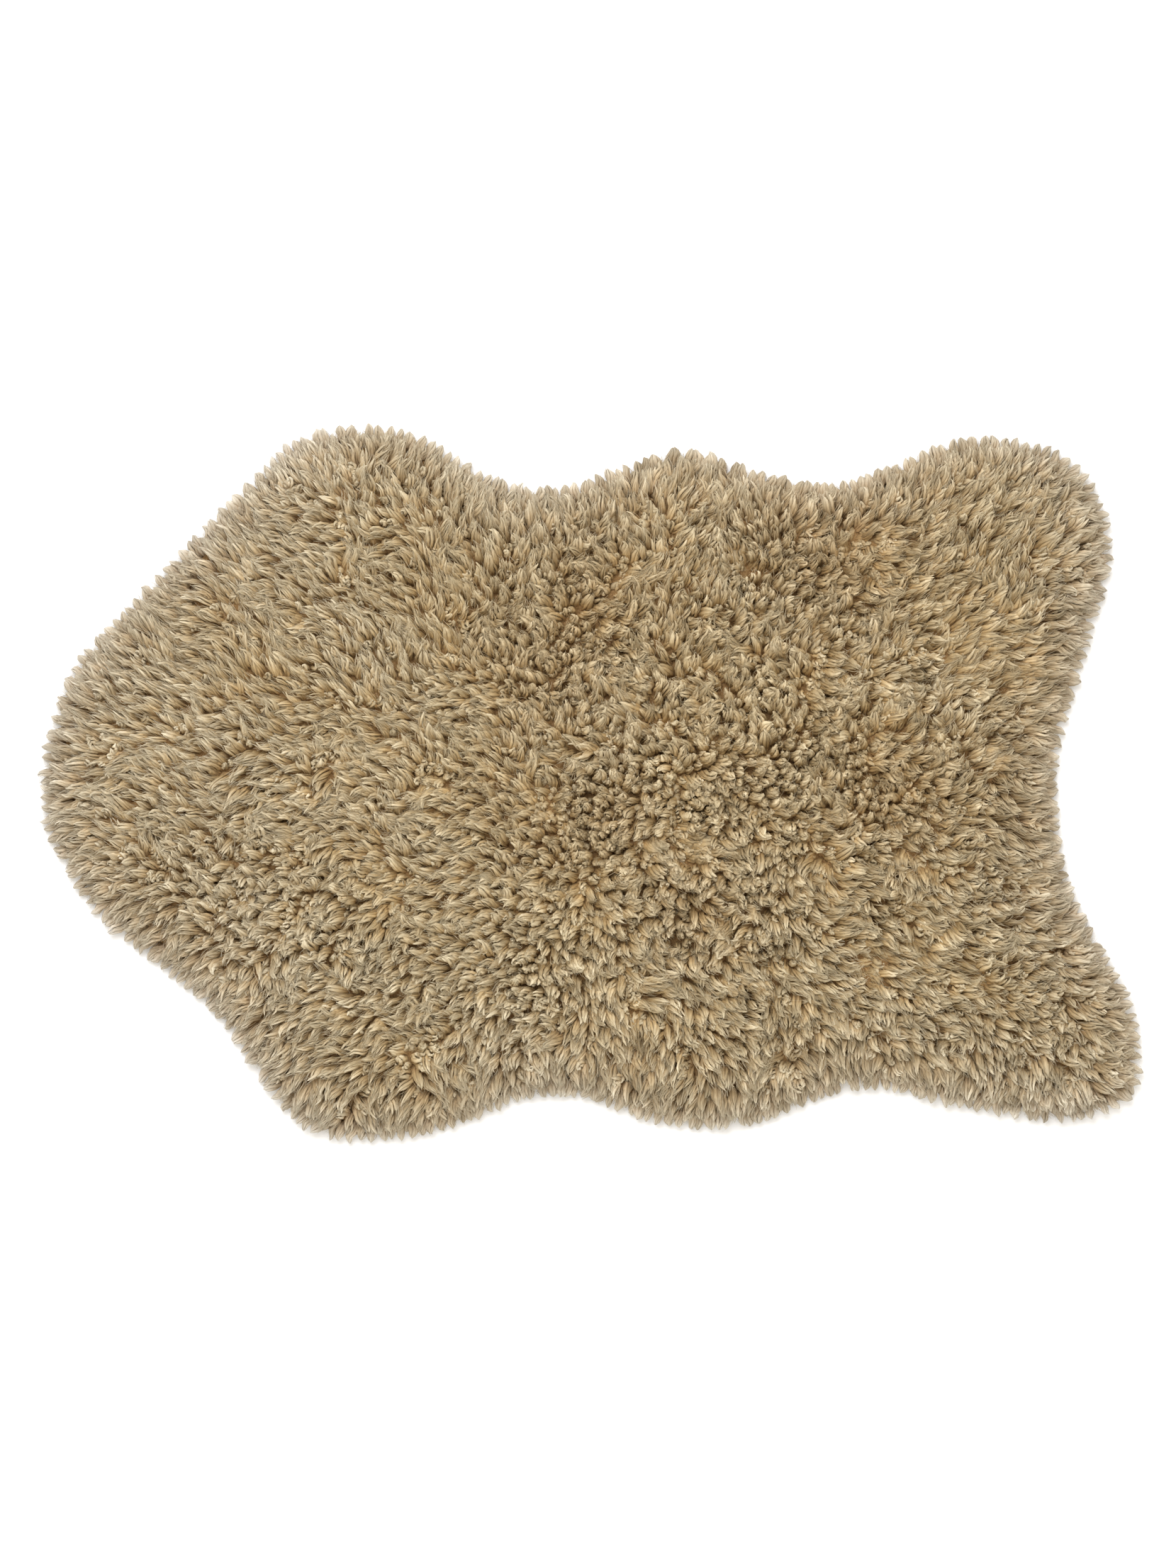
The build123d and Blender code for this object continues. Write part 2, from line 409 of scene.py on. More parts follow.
BARE_CELL = 3.0
BARE_HEIGHT = 12.0  # wool lower than this covers nothing
BARE_LIMIT = 7  # path steps in the nine cells round a place, below which it is bare
BARE_PASSES = 2
SHORT_PITCH = 5.6
SHORT_JITTER = 1.2


def bare_places(paths):
    """Places for short tufts, where the laid tufts leave the wool open."""
    high = paths[paths[..., 2] > BARE_HEIGHT]
    edges = [np.arange(pile_low[i], pile_high[i] + BARE_CELL, BARE_CELL) for i in (0, 1)]
    cover, _, _ = np.histogram2d(high[:, 0], high[:, 1], bins=edges)
    around = sum(np.roll(cover, (i, j), (0, 1)) for i in (-1, 0, 1) for j in (-1, 0, 1))
    places = hexagonal(pile_low, pile_high, SHORT_PITCH, SHORT_JITTER)
    places = places[depth.at(places) > FIELD_START]
    cell = ((places - pile_low) / BARE_CELL).astype(int)
    cell = np.minimum(cell, np.array(around.shape) - 1)
    return places[around[cell[:, 0], cell[:, 1]] < BARE_LIMIT]


paths, loose, length = lay_down(roots, gaps, rim_flags, np.zeros(len(roots)))
first_short = len(roots)
for _ in range(BARE_PASSES):
    bare = bare_places(paths)
    ones = np.ones(len(bare))
    found = lay_down(bare, ones * FIELD_GAP, ones * 0, ones)
    paths, loose, length = (np.concatenate(pair) for pair in zip((paths, loose, length), found))
    roots = np.concatenate([roots, bare])
    rim_flags = np.concatenate([rim_flags, ones * 0])
count = len(roots)

# ---------------------------------------------------------------- plies and fibres

PLIES = 5
SHORT_PLIES = 4
RING_PLACES = np.array([0.12, 0.36, 0.56, 0.73, 0.87, 0.96, 1.0])  # the lowest is in the undercoat
RINGS = len(RING_PLACES)
SIDES = 4
UPRIGHT = 0.02  # a line with less slope than this has no level direction of its own
TUFT_RADIUS = 5.2
RADIUS_SPREAD, RADIUS_LIMITS = 0.14, (0.7, 1.4)
RIM_FAT, COMBED_FAT, LOOSE_FAT = 0.93, 0.84, 0.22  # LOOSE values are added where nothing combs
NECK_THINNER, HOLLOW_THINNER = 0.08, 0.1
NECK = (-50.0, -300.0)  # x, from where to where the tufts get thinner towards the neck
TWIST_MEAN, TWIST_SPREAD = 0.85, 0.22  # in turns
COMBED_TWIST, LOOSE_TWIST = 0.35, 0.65  # shares of it
COMBED_WIDTH, WIDTH_LOSS_LOOSE, WIDTH_LOSS_RIM = 1.26, 0.26, 0.06  # combed tufts lie wide
BLUNTNESS = 1.3
TUFT_TONE, TUFT_TONE_LOOSE = 0.08, 0.03
SWELL_PLACES = (0.0, 0.2, 0.45, 0.65, 0.82, 0.93, 1.0)
SWELL_POINTED = (0.5, 0.85, 1.0, 0.95, 0.77, 0.48, 0.1)
SWELL_BLUNT = (0.6, 0.85, 1.0, 1.0, 0.88, 0.62, 0.14)
SWELL_RIM = (0.5, 0.82, 1.0, 0.98, 0.74, 0.42, 0.04)

PLY_UNEVEN, PLY_UNEVEN_COMBED, PLY_UNEVEN_RIM_LOSS = 0.2, 0.12, 0.88  # shares of the length
PLY_OFF = (0.38, 0.66)  # from the middle of the tuft, as a share of its radius
PLY_THICK = (0.36, 0.56)
PLY_LUMPS, PLY_LUMP_LIMITS = 0.06, (0.8, 1.2)
PLY_APART, PLY_APART_RIM_LOSS = 1.7, 1.4  # how far the tips stray from their tuft
PLY_TONE, PLY_TONE_LOOSE_LOSS = 0.075, 0.03
WAVE_SIZE, WAVE_TURNS = (0.3, 1.4), (1.0, 2.2)
WAVE_RISE = 2.5  # the wave has its size from 1 / WAVE_RISE of the length
FLOOR_CLEARANCE = 0.4

FIBRE_RINGS = 4
FIBRE_SIDES = 3
FIBRE_TAPER = 0.6
FIBRE_TONE = 1.04
FIBRE_EDGE = 0.5  # fibres end this far inside the outline
FIBRE_LOWEST = 2.0
FIBRE_ABOVE = 4.0  # fibres may stand this far above the pile
SURFACE_FIBRES = 7  # on each tuft
SURFACE_RADIUS = 0.36
SURFACE_START = (0.2, 0.6)
SURFACE_OFF = (0.8, 1.08)
SURFACE_ONWARD, SURFACE_ONWARD_COMBED = (-2.5, 1.5), (0, 4)
SURFACE_TONE = 0.1
FRAY, FRAY_RIM_LOSS = 1.8, 0.75
STRAY_SHARE = 0.9  # stray fibres for each tuft
STRAY_RADIUS = 0.17
STRAY_START = (0.45, 0.85)
STRAY_TURNS = (0.3, 0.9)
STRAY_CURL = (0.5, 2.2)
STRAY_DRIFT = 5.5
STRAY_ONWARD = (0.0, 11.0)
STRAY_LIFT = (1.0, 3.6)
STRAY_TONE = 0.08

fat = TUFT_RADIUS * np.clip(rng.normal(1, RADIUS_SPREAD, count), *RADIUS_LIMITS)
fat *= np.where(rim_flags > 0, RIM_FAT, COMBED_FAT + LOOSE_FAT * loose)
thinner = HOLLOW_THINNER * np.clip(hollow(roots), 0, 1)
fat *= 1 - NECK_THINNER * rise(roots[:, 0], *NECK) - thinner
twist = rng.normal(TWIST_MEAN, TWIST_SPREAD, count) * 2 * math.pi
twist = twist * (COMBED_TWIST + LOOSE_TWIST * loose)
spread = COMBED_WIDTH - WIDTH_LOSS_LOOSE * loose - WIDTH_LOSS_RIM * rim_flags
phase = rng.uniform(0, 2 * math.pi, count)
blunt = np.clip(loose * BLUNTNESS, 0, 1)
tuft_tone = 1 + rng.normal(0, 1, count) * (TUFT_TONE + TUFT_TONE_LOOSE * loose)


def points_along(chosen, places):
    """Points on the middle lines of the chosen tufts, at places[tuft, ring] from 0 to 1."""
    lines = paths[chosen]
    where = np.clip(places, 0, 1) * PATH_STEPS
    low = np.minimum(where.astype(int), PATH_STEPS - 1)
    share = (where - low)[..., None]
    rows = np.arange(len(lines))[:, None]
    return lines[rows, low] * (1 - share) + lines[rows, low + 1] * share


def frames_along(centre):
    """Two directions across a line at each of its points, and the way along it."""
    along = np.gradient(centre, axis=1)
    along /= np.maximum(np.linalg.norm(along, axis=-1, keepdims=True), 1e-9)
    side = np.stack([-along[..., 1], along[..., 0], np.zeros(along.shape[:2])], axis=-1)
    size = np.linalg.norm(side, axis=-1, keepdims=True)
    side = np.where(size > UPRIGHT, side / np.maximum(size, 1e-9), np.array([1.0, 0.0, 0.0]))
    return side, np.cross(along, side), along


def srgb(red, green, blue):
    """Linear colour from the eight-bit screen values."""
    screen = np.array([red, green, blue]) / 255
    return np.where(screen <= 0.04045, screen / 12.92, ((screen + 0.055) / 1.055) ** 2.4)


ROOT_COLOUR = srgb(152, 104, 50)
BODY_COLOUR = srgb(180, 154, 109)
TIP_COLOUR = srgb(203, 190, 160)
# The pale colour that the wool near the outline is blended towards is painted light.
RIM_PAINTED_LIGHT_COLOUR = srgb(194, 189, 180)
DARK_IS_WARM = np.array([0.9, 1.0, 1.18])  # darker wool is also warmer
HOLLOW_SHADE = np.array([0.09, 0.13, 0.18])
WARM_TINT = np.array([0.93, 0.89, 0.83])
COOL_TINT = np.array([1.03, 1.045, 1.1])
BODY_PLACE = 0.65  # the wool has its body colour from this share of its length
TIP_PLACES = (0.5, 1.0)
EDGE_REACH, EDGE_PAINTED_LIGHT = 34.0, 0.45  # painted light: the wool is painted paler near the outline, for the light that the rim catches
TEETH_REACH, TEETH_PAINTED_LIGHT = 6.0, 0.3  # painted light: paler still at the tips that end there
EDGE_ROOTS_PAINTED_LIGHT = 0.8  # painted light: how much of the dark roots is painted paler near the outline, softening the shade between the rim tufts
WARM_CENTRE = np.array([170.0, 115.0])
WARM_SIZE = np.array([420.0, 300.0])
COOL_NECK, COOL_NECK_SHARE = (-100.0, -400.0), 0.8
COOL_LEGS, COOL_LEGS_SHARE = (380.0, 500.0), 0.6
WARM_PATCHES, COOL_PATCHES = 0.22, 0.2
STREAKS, STREAKS_RUMP = 0.06, 0.1


def wool_colours(points, share, tone):
    """The colour of the wool at each point, from its share of the way along its tuft, with painted
    light near the outline and painted shade in the partings.
    """
    flat = points.reshape(-1, 3)[:, :2]
    edge = (depth.at(flat) + overhang).reshape(share.shape)[..., None]
    edge = np.maximum(edge, 0)
    near = np.exp(-edge / EDGE_REACH)
    low = rise(share, 0, BODY_PLACE)[..., None]
    # Painted light: near the outline the dark roots are painted paler, softening the shade there.
    low = low + (1 - low) * EDGE_ROOTS_PAINTED_LIGHT * near
    high = rise(share, *TIP_PLACES)[..., None]
    colour = ROOT_COLOUR * (1 - low) + BODY_COLOUR * low
    colour = colour * (1 - high) + TIP_COLOUR * high
    # Painted light: the wool near the outline and at its tips there is painted paler.
    pale = TEETH_PAINTED_LIGHT * np.exp(-edge / TEETH_REACH) + EDGE_PAINTED_LIGHT * near
    colour = colour * (1 - pale) + RIM_PAINTED_LIGHT_COLOUR * pale
    centre = (flat - WARM_CENTRE) / WARM_SIZE
    warm = np.exp(-(centre ** 2).sum(axis=1))
    cool = rise(flat[:, 0], *COOL_NECK) * COOL_NECK_SHARE
    cool = cool + rise(flat[:, 0], *COOL_LEGS) * COOL_LEGS_SHARE
    patch = waves(flat, longest=300, shortest=120, count=6, seed=2)
    streak_size = STREAKS + STREAKS_RUMP * rise(flat[:, 0], *RUMP)
    streak = 1 + waves(flat, longest=55, shortest=20, count=12, seed=3) * streak_size
    warm = np.clip(warm + WARM_PATCHES * patch, 0, 1).reshape(share.shape)[..., None]
    cool = np.clip(cool - COOL_PATCHES * patch, 0, 1).reshape(share.shape)[..., None]
    colour = colour * (1 - warm + warm * WARM_TINT) * (1 - cool + cool * COOL_TINT)
    # Painted shade: the wool in the partings is darkened, more in green and blue than in red.
    parted = hollow(flat).reshape(share.shape)[..., None]
    colour = colour * (1 - parted * HOLLOW_SHADE)
    tone = tone * streak.reshape(share.shape)
    return colour * tone[..., None] ** DARK_IS_WARM


def tubes_round(centre, radius, spin, sides):
    """The corners of a tube round each line: centre[tube, ring], radius, first angle."""
    side, across, _ = frames_along(centre)
    angles = (spin[..., None] + np.arange(sides) * 2 * math.pi / sides)[..., None]
    ring = np.cos(angles) * side[:, :, None] + np.sin(angles) * across[:, :, None]
    return centre[:, :, None] + ring * radius[:, :, None, None]


def swell_of(chosen, own):
    """How thick the chosen tufts are at a share of their length."""
    pointed = np.interp(own, SWELL_PLACES, SWELL_POINTED)
    rounded = np.interp(own, SWELL_PLACES, SWELL_BLUNT)
    leaf = np.interp(own, SWELL_PLACES, SWELL_RIM)
    part = blunt[chosen][:, None]
    edge = rim_flags[chosen][:, None]
    swell = (pointed * (1 - part) + rounded * part) * (1 - edge) + leaf * edge
    return swell * fat[chosen][:, None]


def tuft_plies(chosen, plies):
    """Every ply of the chosen tufts: corners, share along, tone."""
    size = len(chosen)
    at_rim, uncombed = rim_flags[chosen], loose[chosen]
    wide = spread[chosen][:, None]
    wave_size = rng.uniform(*WAVE_SIZE, size)[:, None]
    wave_turns = rng.uniform(*WAVE_TURNS, size)[:, None]
    start = phase[chosen][:, None]
    uneven = (PLY_UNEVEN + PLY_UNEVEN_COMBED * (1 - uncombed)) * (1 - PLY_UNEVEN_RIM_LOSS * at_rim)
    corners, shares, tones = [], [], []
    for ply in range(plies):
        reach = (1 - rng.uniform(0, 1, size) * uneven)[:, None]
        share = RING_PLACES * reach
        centre = points_along(chosen, share)
        side, across, _ = frames_along(centre)
        swell = swell_of(chosen, share / reach)
        spin = start + ply * 2 * math.pi / plies + twist[chosen][:, None] * share
        off = swell * rng.uniform(*PLY_OFF, size)[:, None]
        wave = wave_size * np.sin(wave_turns * 2 * math.pi * share + start)
        wave = wave * smooth_step(share * WAVE_RISE)
        apart = rng.normal(0, 1, size) * (PLY_APART - PLY_APART_RIM_LOSS * at_rim)
        apart = apart[:, None] * share ** 3
        centre = centre + side * (np.cos(spin) * off * wide + wave + apart)[..., None]
        centre = centre + across * (np.sin(spin) * off / wide)[..., None]
        thick = swell * rng.uniform(*PLY_THICK, size)[:, None]
        thick = thick * np.clip(rng.normal(1, PLY_LUMPS, share.shape), *PLY_LUMP_LIMITS)
        tubes = tubes_round(centre, thick, spin, SIDES)
        tubes[..., 2] = np.maximum(tubes[..., 2], FLOOR_CLEARANCE)
        corners.append(tubes)
        shares.append(np.repeat(share[:, :, None], SIDES, axis=2))
        ply_tone = rng.normal(0, 1, size) * (PLY_TONE - PLY_TONE_LOOSE_LOSS * uncombed)
        tone = (tuft_tone[chosen] * (1 + ply_tone))[:, None, None]
        tones.append(np.broadcast_to(tone, (size, RINGS, SIDES)))
    return [np.concatenate(part) for part in (corners, shares, tones)]


def fibre_tubes(centre, share, radius, tone_spread):
    """Thin closed tubes along the fibres that stay inside the rug's outline."""
    edge = depth.at(centre[:, -1, :2]) + overhang
    centre, share = centre[edge > FIBRE_EDGE], share[edge > FIBRE_EDGE]
    centre[..., 2] = np.clip(centre[..., 2], FIBRE_LOWEST, pile_top + FIBRE_ABOVE)
    own = np.linspace(0, 1, FIBRE_RINGS)[None, :]
    thick = np.broadcast_to(radius * (1 - FIBRE_TAPER * own), share.shape)
    corners = tubes_round(centre, thick, np.zeros_like(share), FIBRE_SIDES)
    tone = rng.normal(FIBRE_TONE, tone_spread, len(centre))[:, None, None]
    lengths = np.linalg.norm(np.diff(centre, axis=1), axis=-1).sum(axis=1)
    shape = (len(centre), FIBRE_RINGS, FIBRE_SIDES)
    shares = np.repeat(share[:, :, None], FIBRE_SIDES, axis=2)
    return corners, shares, np.broadcast_to(tone, shape), lengths


def surface_fibres(chosen):
    """Coarse fibres that wind round the outside of the chosen tufts and fray at the tips."""
    size = len(chosen)
    at_rim, uncombed = rim_flags[chosen], loose[chosen]
    wide = spread[chosen][:, None]
    own = np.linspace(0, 1, FIBRE_RINGS)[None, :]
    start = rng.uniform(*SURFACE_START, size)[:, None]
    share = start + own * (1 - start)
    centre = points_along(chosen, share)
    side, across, ahead = frames_along(centre)
    spin = rng.uniform(0, 2 * math.pi, size)[:, None] + twist[chosen][:, None] * share
    off = swell_of(chosen, share) * rng.uniform(*SURFACE_OFF, size)[:, None]
    fray = np.abs(rng.normal(0, FRAY, size)) * (1 - FRAY_RIM_LOSS * at_rim)
    off = off + fray[:, None] * own ** 3
    onward = rng.uniform(*SURFACE_ONWARD, size)
    onward = onward + rng.uniform(*SURFACE_ONWARD_COMBED, size) * ((1 - at_rim) * (1 - uncombed))
    centre = centre + side * (np.cos(spin) * off * wide)[..., None]
    centre = centre + across * (np.sin(spin) * off / wide)[..., None]
    centre = centre + ahead * (onward[:, None] * own ** 2)[..., None]
    return fibre_tubes(centre, share, SURFACE_RADIUS, SURFACE_TONE)


def stray_fibres(chosen):
    """Single fibres that have worked loose from the chosen tufts."""
    size = len(chosen)
    own = np.linspace(0, 1, FIBRE_RINGS)[None, :]
    start = rng.uniform(*STRAY_START, size)[:, None]
    share = start + own * (1 - start)
    centre = points_along(chosen, share)
    side, _, ahead = frames_along(centre)
    turns = rng.uniform(*STRAY_TURNS, size)[:, None] * own + rng.uniform(0, 1, size)[:, None]
    curl = rng.uniform(*STRAY_CURL, size)[:, None] * np.sin(turns * 2 * math.pi)
    drift = rng.normal(0, STRAY_DRIFT, size)[:, None] * own ** 1.5 + curl
    onward = rng.uniform(*STRAY_ONWARD, size)[:, None] * own
    centre = centre + side * drift[..., None] + ahead * onward[..., None]
    centre[..., 2] += rng.uniform(*STRAY_LIFT, size)[:, None] * (0.8 + 0.4 * own)
    return fibre_tubes(centre, share, STRAY_RADIUS, STRAY_TONE)


BAKE_MARGIN = 0.08  # of each tube's cell in the bake layout
STRAND_STEP = 3.7  # moves each tube to another place in the fibre noise
STRAND_STEP_ALONG = 5  # times as far along the fibres


def tube_mesh(name, corners, colours, lengths):
    """One mesh of closed tubes. corners[tube, ring, side] in millimetres."""
    tubes, rings, sides = corners.shape[:3]
    vertex = np.arange(tubes * rings * sides).reshape(tubes, rings, sides)
    turned = np.roll(vertex, -1, axis=2)
    quads = [vertex[:, :-1], turned[:, :-1], turned[:, 1:], vertex[:, 1:]]
    quads = np.stack(quads, axis=-1).reshape(-1, 4)
    caps = np.concatenate([vertex[:, 0, ::-1], vertex[:, -1]])
    mesh = bpy.data.meshes.new(name)
    mesh.vertices.add(vertex.size)
    mesh.vertices.foreach_set("co", (corners.reshape(-1) * MM).astype(np.float32))
    loops = np.concatenate([quads.reshape(-1), caps.reshape(-1)]).astype(np.int32)
    mesh.loops.add(len(loops))
    mesh.loops.foreach_set("vertex_index", loops)
    sizes = np.concatenate([np.full(len(quads), 4), np.full(len(caps), sides)])
    mesh.polygons.add(len(sizes))
    loop_starts = np.concatenate([[0], np.cumsum(sizes)[:-1]]).astype(np.int32)
    mesh.polygons.foreach_set("loop_start", loop_starts)
    mesh.update(calc_edges=True)
    mesh.polygons.foreach_set("use_smooth", np.ones(len(sizes), bool))

    # OFBake gives each tube a cell of its own. The layer called fibre counts turns around
    # the tube and millimetres along it, from another starting place for each tube.
    tube = np.arange(tubes)
    around = np.arange(sides) / sides
    along = np.linspace(0, 1, rings)[None, :] * lengths[:, None]
    quad_around = np.stack([around, around + 1 / sides, around + 1 / sides, around], axis=-1)
    quad_around = np.broadcast_to(quad_around, (tubes, rings - 1, sides, 4))
    quad_along = np.stack([along[:, :-1], along[:, :-1], along[:, 1:], along[:, 1:]], axis=-1)
    quad_along = np.broadcast_to(quad_along[:, :, None], (tubes, rings - 1, sides, 4))
    columns = math.ceil(math.sqrt(tubes / 4.0))
    cell = np.array([1 / columns, 1 / math.ceil(tubes / columns)])
    corner = np.stack([tube % columns, tube // columns], axis=1) * cell
    place = np.stack([quad_around, quad_along / lengths[:, None, None, None]], axis=-1)
    quad_map = corner[:, None, None, None] + (BAKE_MARGIN + (1 - 2 * BAKE_MARGIN) * place) * cell
    cap_map = np.repeat((corner + 0.5 * cell)[:, None], sides, axis=1)
    bake = mesh.uv_layers.new(name="OFBake")
    values = np.concatenate([quad_map.reshape(-1, 2), cap_map.reshape(-1, 2), cap_map.reshape(-1, 2)])
    bake.data.foreach_set("uv", values.reshape(-1).astype(np.float32))
    fibre = mesh.uv_layers.new(name="fibre")
    marks = (tube * STRAND_STEP)[:, None, None, None]
    values = [quad_around + marks, quad_along + marks * STRAND_STEP_ALONG]
    values = np.stack(values, axis=-1).reshape(-1, 2)
    values = np.concatenate([values, np.zeros((caps.size, 2))])
    fibre.data.foreach_set("uv", values.reshape(-1).astype(np.float32))
    shade = mesh.color_attributes.new("wool", "FLOAT_COLOR", "POINT")
    rgba = np.concatenate([colours.reshape(-1, 3), np.ones((vertex.size, 1))], axis=1)
    shade.data.foreach_set("color", rgba.reshape(-1).astype(np.float32))
    obj = bpy.data.objects.new(name, mesh)
    bpy.context.scene.collection.objects.link(obj)
    return obj


# ---------------------------------------------------------------- materials


def new_material(name, roughness, sheen=0.0):
    """A material with its node tree and its shader."""
    material = bpy.data.materials.new(name)
    material.use_nodes = True
    shader = material.node_tree.nodes["Principled BSDF"]
    shader.inputs["Roughness"].default_value = roughness
    shader.inputs["Sheen Weight"].default_value = sheen
    shader.inputs["Sheen Roughness"].default_value = 0.5
    shader.inputs["Sheen Tint"].default_value = (*srgb(236, 208, 160), 1)
    shader.inputs["Specular IOR Level"].default_value = 0.1
    return material, material.node_tree, shader


def add_noise(tree, coordinates, scale, detail):
    """Noise at the coordinates."""
    noise = tree.nodes.new("ShaderNodeTexNoise")
    noise.inputs["Scale"].default_value = scale
    noise.inputs["Detail"].default_value = detail
    tree.links.new(coordinates, noise.inputs["Vector"])
    return noise


def add_ramp(tree, shader, value, low, high):
    """The colour of a surface from a value. low and high are each a position and a colour."""
    ramp = tree.nodes.new("ShaderNodeValToRGB")
    for element, (position, colour) in zip(ramp.color_ramp.elements, (low, high)):
        element.position = position
        element.color = (*colour, 1)
    tree.links.new(value, ramp.inputs["Fac"])
    tree.links.new(ramp.outputs["Color"], shader.inputs["Base Color"])


def add_bump(tree, shader, height, strength, distance):
    """Raised detail on a surface; the distance is in metres."""
    bump = tree.nodes.new("ShaderNodeBump")
    bump.inputs["Strength"].default_value = strength
    bump.inputs["Distance"].default_value = distance
    tree.links.new(height, bump.inputs["Height"])
    tree.links.new(bump.outputs["Normal"], shader.inputs["Normal"])


def wool_material():
    """Fine fibres that run along each strand, over the colours held on the mesh."""
    material, tree, shader = new_material("wool_fibre", roughness=0.85, sheen=0.18)
    uv = tree.nodes.new("ShaderNodeUVMap")
    uv.uv_map = "fibre"
    stretch = tree.nodes.new("ShaderNodeMapping")
    stretch.inputs["Scale"].default_value = (9.0, 0.12, 1.0)
    tree.links.new(uv.outputs["UV"], stretch.inputs["Vector"])
    streak = add_noise(tree, stretch.outputs["Vector"], scale=1.0, detail=3.0)
    streak.inputs["Roughness"].default_value = 0.65
    tone = tree.nodes.new("ShaderNodeMapRange")
    tone.inputs["From Min"].default_value = 0.3
    tone.inputs["From Max"].default_value = 0.7
    tone.inputs["To Min"].default_value = 0.76
    tone.inputs["To Max"].default_value = 1.18
    tree.links.new(streak.outputs["Fac"], tone.inputs["Value"])
    colour = tree.nodes.new("ShaderNodeVertexColor")
    colour.layer_name = "wool"
    shaded = tree.nodes.new("ShaderNodeVectorMath")
    shaded.operation = "SCALE"
    tree.links.new(colour.outputs["Color"], shaded.inputs[0])
    tree.links.new(tone.outputs["Result"], shaded.inputs["Scale"])
    tree.links.new(shaded.outputs["Vector"], shader.inputs["Base Color"])
    add_bump(tree, shader, streak.outputs["Fac"], strength=0.5, distance=0.0005)
    return material


def felted_wool_material():
    """Matted dark wool."""
    material, tree, shader = new_material("felted_wool", roughness=0.9, sheen=0.1)
    place = tree.nodes.new("ShaderNodeTexCoord")
    noise = add_noise(tree, place.outputs["Object"], scale=420.0, detail=6.0)
    noise.inputs["Distortion"].default_value = 1.5
    dark, light = (0.32, srgb(112, 84, 52)), (0.7, srgb(160, 128, 86))
    add_ramp(tree, shader, noise.outputs["Fac"], dark, light)
    add_bump(tree, shader, noise.outputs["Fac"], strength=0.7, distance=0.001)
    return material


def woven_material(name, light, dark, thread, roughness=0.85):
    """A plain weave: two crossing sets of bands. They repeat every 0.63 thread, in metres."""
    material, tree, shader = new_material(name, roughness, sheen=0.1)
    place = tree.nodes.new("ShaderNodeTexCoord")
    heights = []
    for axis in ("X", "Y"):
        wave = tree.nodes.new("ShaderNodeTexWave")
        wave.wave_type = "BANDS"
        wave.bands_direction = axis
        wave.inputs["Scale"].default_value = 1 / (2 * thread)
        wave.inputs["Distortion"].default_value = 0.6
        wave.inputs["Detail"].default_value = 2.0
        tree.links.new(place.outputs["Object"], wave.inputs["Vector"])
        heights.append(wave)
    cross = tree.nodes.new("ShaderNodeMath")
    cross.operation = "MULTIPLY"
    tree.links.new(heights[0].outputs["Fac"], cross.inputs[0])
    tree.links.new(heights[1].outputs["Fac"], cross.inputs[1])
    mottle = add_noise(tree, place.outputs["Object"], scale=60.0, detail=4.0)
    mixed = tree.nodes.new("ShaderNodeMath")
    mixed.operation = "MULTIPLY_ADD"
    mixed.inputs[1].default_value = 0.55
    tree.links.new(cross.outputs["Value"], mixed.inputs[0])
    tree.links.new(mottle.outputs["Fac"], mixed.inputs[2])
    add_ramp(tree, shader, mixed.outputs["Value"], (0.3, dark), (0.95, light))
    add_bump(tree, shader, cross.outputs["Value"], strength=0.6, distance=thread * 0.3)
    return material


def latex_material():
    """Dried latex, slightly lumpy and unevenly yellow."""
    material, tree, shader = new_material("latex", roughness=0.55)
    place = tree.nodes.new("ShaderNodeTexCoord")
    noise = add_noise(tree, place.outputs["Object"], scale=90.0, detail=5.0)
    dark, light = (0.0, srgb(196, 184, 150)), (1.0, srgb(232, 224, 200))
    add_ramp(tree, shader, noise.outputs["Fac"], dark, light)
    add_bump(tree, shader, noise.outputs["Fac"], strength=0.4, distance=0.0006)
    return material


def give(node, material):
    """The CAD node keeps its shape and takes a material."""
    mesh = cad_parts[node].data
    mesh.materials.clear()
    mesh.materials.append(material)


# ---------------------------------------------------------------- the wool pieces

FACES_PER_PIECE = 190000  # triangles
PLY_FACES = 2 * (RINGS - 1) * SIDES + 2 * (SIDES - 2)

wool = wool_material()


def in_zone(points, node):
    """Which points of the plan lie in a node's box."""
    low, high = (np.array(corner[:2]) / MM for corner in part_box(node))
    return ((points >= low) & (points < high)).all(axis=1)


def dress(obj, material, *nodes):
    """A wool piece rides on the rug and stands for the pile's plain solids."""
    obj.data.materials.append(material)
    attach(obj, "root")
    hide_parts(*nodes)


def dress_fibres(name, fibres, node):
    """One piece of fibres."""
    corners, shares, tones, lengths = fibres
    colours = wool_colours(corners, shares, tones)
    dress(tube_mesh(name, corners, colours, lengths), wool, node)


def dress_tufts(name, chosen, plies, node):
    """One piece of the chosen tufts."""
    corners, shares, tones = tuft_plies(chosen, plies)
    colours = wool_colours(corners, shares, tones)
    lengths = np.tile(length[chosen], plies)
    dress(tube_mesh(name, corners, colours, lengths), wool, node)


for node in PILE_NODES:
    members = np.flatnonzero(in_zone(roots, node))
    tall = members[members < first_short]
    short = members[members >= first_short]
    parts = math.ceil(len(tall) * PLIES * PLY_FACES / FACES_PER_PIECE)
    for number, chosen in enumerate(np.array_split(tall, parts), 1):
        dress_tufts(f"{node}_tufts_{number}", chosen, PLIES, node)
        fibres = surface_fibres(np.repeat(chosen, SURFACE_FIBRES))
        dress_fibres(f"{node}_fibres_{number}", fibres, node)
    dress_tufts(f"{node}_short_tufts", short, SHORT_PLIES, node)
    frayed = rng.choice(members, int(len(members) * STRAY_SHARE))
    dress_fibres(f"{node}_stray_fibres", stray_fibres(frayed), node)

# ---------------------------------------------------------------- the dense wool under the tufts

